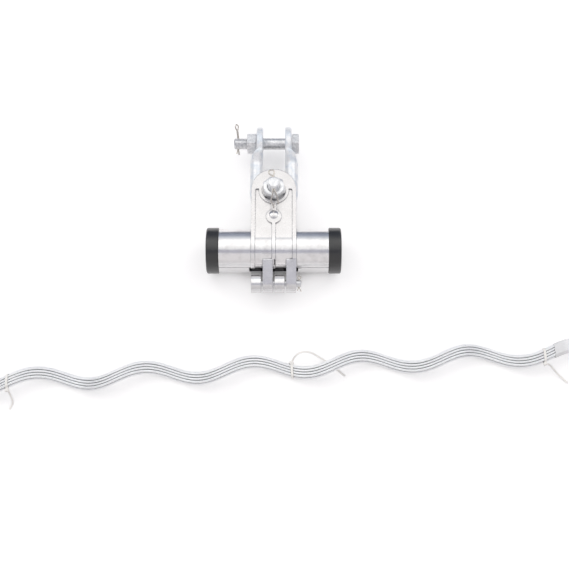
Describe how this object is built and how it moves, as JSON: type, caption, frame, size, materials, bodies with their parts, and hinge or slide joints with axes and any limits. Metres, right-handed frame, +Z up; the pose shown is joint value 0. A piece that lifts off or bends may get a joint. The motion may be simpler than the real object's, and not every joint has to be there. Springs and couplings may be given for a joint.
{
  "type": "preformed suspension clamp",
  "caption": "Aluminium cable suspension clamp with rubber liner, bolted shackle and a tied bundle of preformed helical armour rods, laid flat.",
  "frame": {"origin": "centre of the cable bore, midway between the two rubber rims", "axes": "+X along the cable, +Y from the hinge towards the shackle, +Z up from the surface it lies on, out of the front plate"},
  "size_m": [0.7782, 0.3975, 0.0825],
  "materials": {
    "cast_aluminium": "polished casting",
    "rubber": "satin",
    "galvanised_steel": "hot-dip galvanised, bright",
    "zinc_steel": "matt, mottled zinc",
    "pin_steel": "satin",
    "stainless_wire": "bright",
    "rod_wire": "bright drawn wire",
    "white_nylon": "translucent",
    "clear_tape": "translucent"
  },
  "bodies": {
    "clamp": {"front_housing": "cast_aluminium", "back_housing": "cast_aluminium", "front_insert": "rubber", "back_insert": "rubber", "housing_bolt": "zinc_steel", "housing_nut": "zinc_steel", "housing_split_pin": "stainless_wire", "armor_rod_01": "rod_wire", "armor_rod_02": "rod_wire", "armor_rod_03": "rod_wire", "armor_rod_04": "rod_wire", "armor_rod_05": "rod_wire", "armor_rod_06": "rod_wire", "armor_rod_07": "rod_wire", "armor_rod_08": "rod_wire", "armor_rod_09": "rod_wire", "armor_rod_10": "rod_wire", "armor_rod_11": "rod_wire", "armor_rod_12": "rod_wire", "armor_rod_13": "rod_wire", "tie_left": "white_nylon", "tie_middle": "white_nylon", "tie_right": "white_nylon", "end_tape": "clear_tape"},
    "shackle": {"shackle": "galvanised_steel"},
    "shackle_bolt": {"shackle_bolt": "zinc_steel", "shackle_nut": "zinc_steel", "shackle_split_pin": "stainless_wire"},
    "hinge_pin": {"hinge_pin": "pin_steel", "hinge_split_pin": "stainless_wire"}
  },
  "joints": [
    {"name": "shackle_swing", "type": "hinge", "parent": "clamp", "child": "shackle", "pos_m": [0, 0.0781, 0], "axis": [0, 0, 1], "range_deg": [-70, 70]},
    {"name": "shackle_bolt_turn", "type": "hinge", "parent": "shackle", "child": "shackle_bolt", "pos_m": [0, 0.161, 0], "axis": [1, 0, 0], "continuous": true},
    {"name": "hinge_pin_turn", "type": "hinge", "parent": "clamp", "child": "hinge_pin", "pos_m": [0, -0.0474, 0], "axis": [1, 0, 0], "continuous": true}
  ]
}
